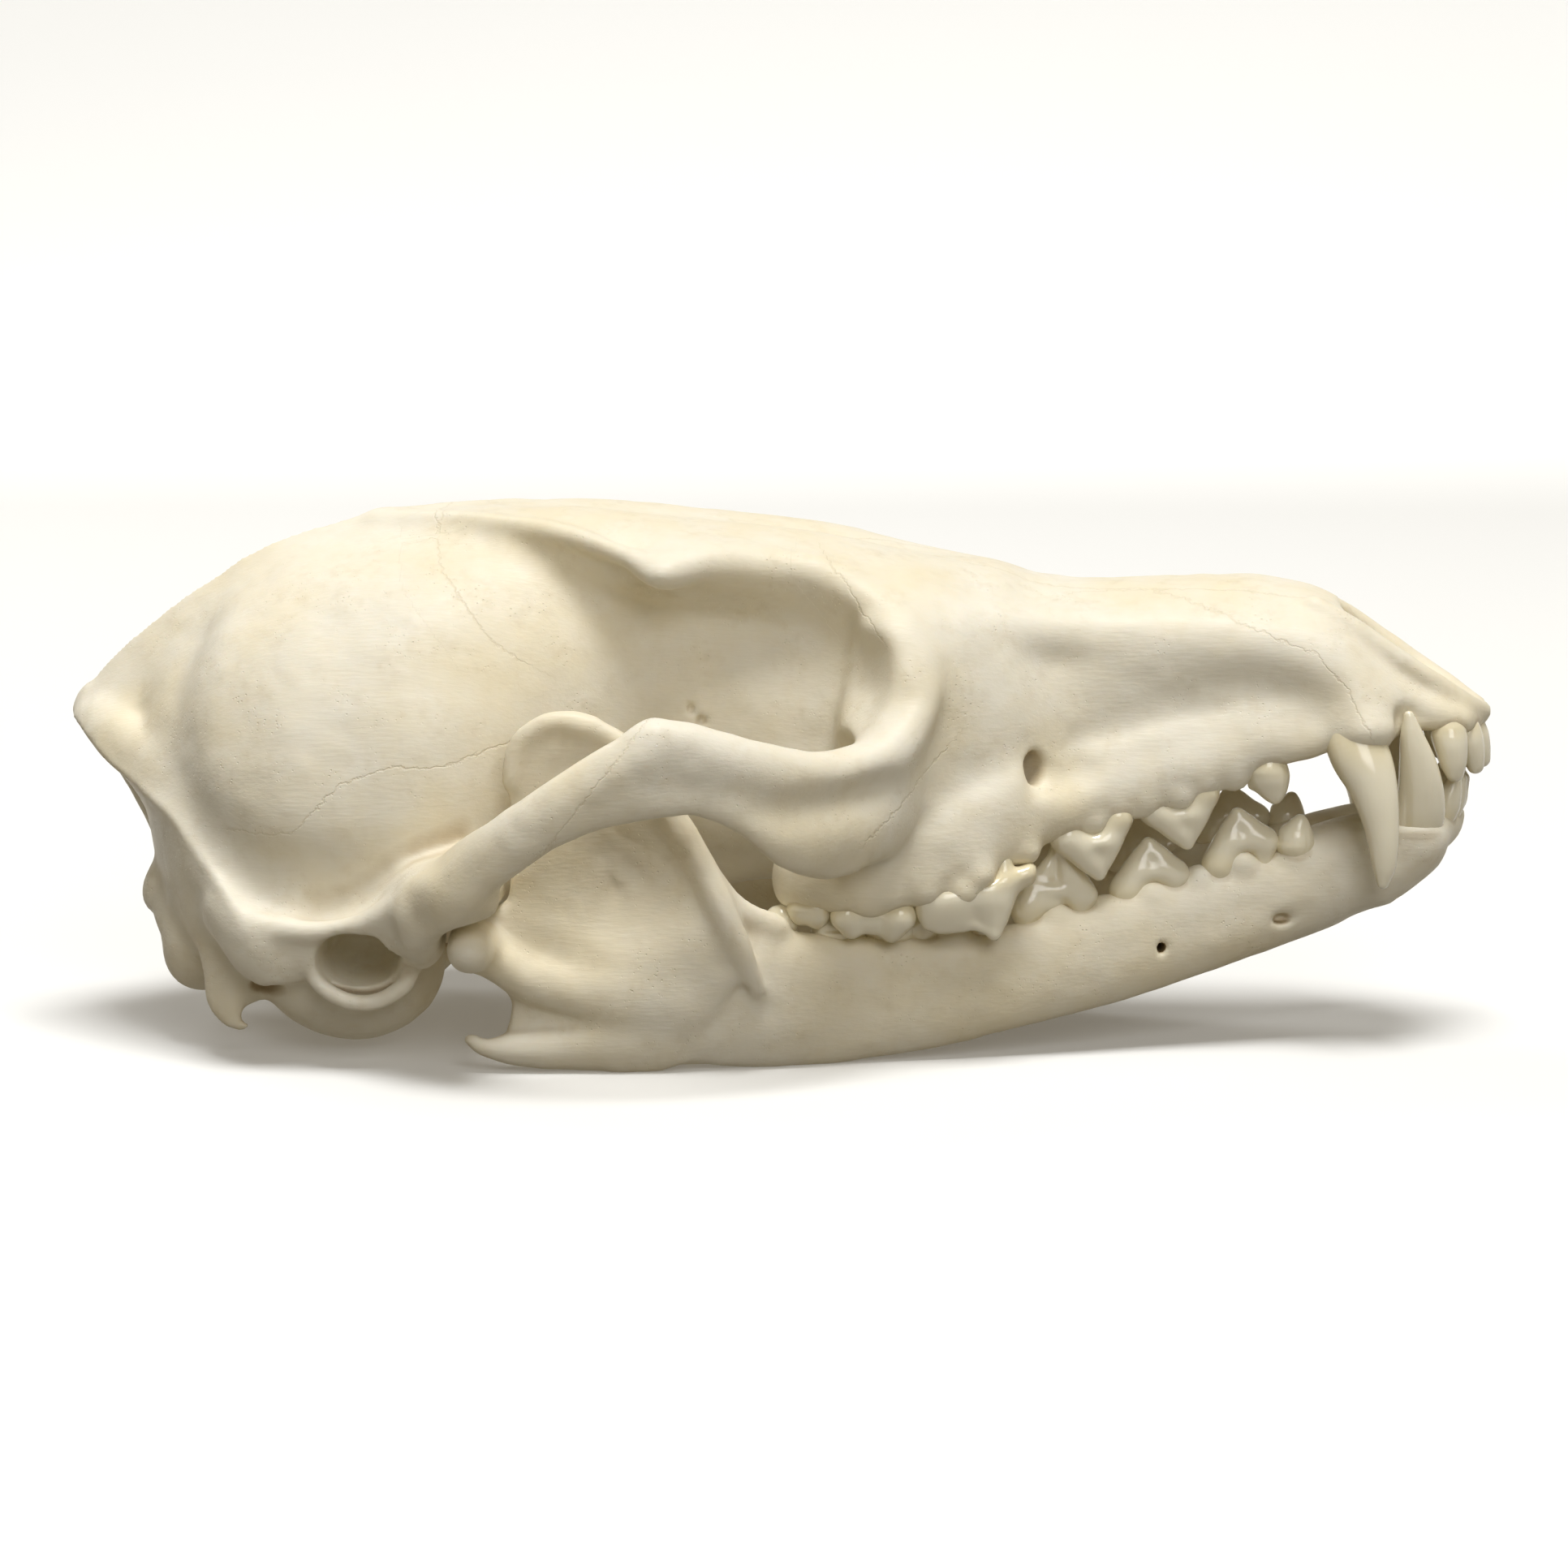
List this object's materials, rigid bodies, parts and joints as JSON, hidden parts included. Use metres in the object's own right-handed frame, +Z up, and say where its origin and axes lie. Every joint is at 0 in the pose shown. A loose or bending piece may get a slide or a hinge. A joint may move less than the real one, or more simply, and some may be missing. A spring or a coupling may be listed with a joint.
{
  "type": "fox skull",
  "caption": "Dry animal skull with a long tapering snout and a full set of teeth, its mouth closed, resting on the lower jaw.",
  "frame": {"origin": "under the middle of the skull's length and breadth, on the surface that the lower jaw stands on", "axes": "+X from the nape to the tip of the snout, +Y to the animal's left, +Z up"},
  "size_m": [0.1477, 0.0784, 0.0555],
  "materials": {
    "bone": "dry cleaned bone, matte to satin"
  },
  "bodies": {
    "root": {"braincase": "bone", "face": "bone", "zygomatic_left": "bone", "zygomatic_right": "bone", "bulla_left": "bone", "bulla_right": "bone", "mandible_left": "bone", "mandible_right": "bone"}
  },
  "joints": []
}
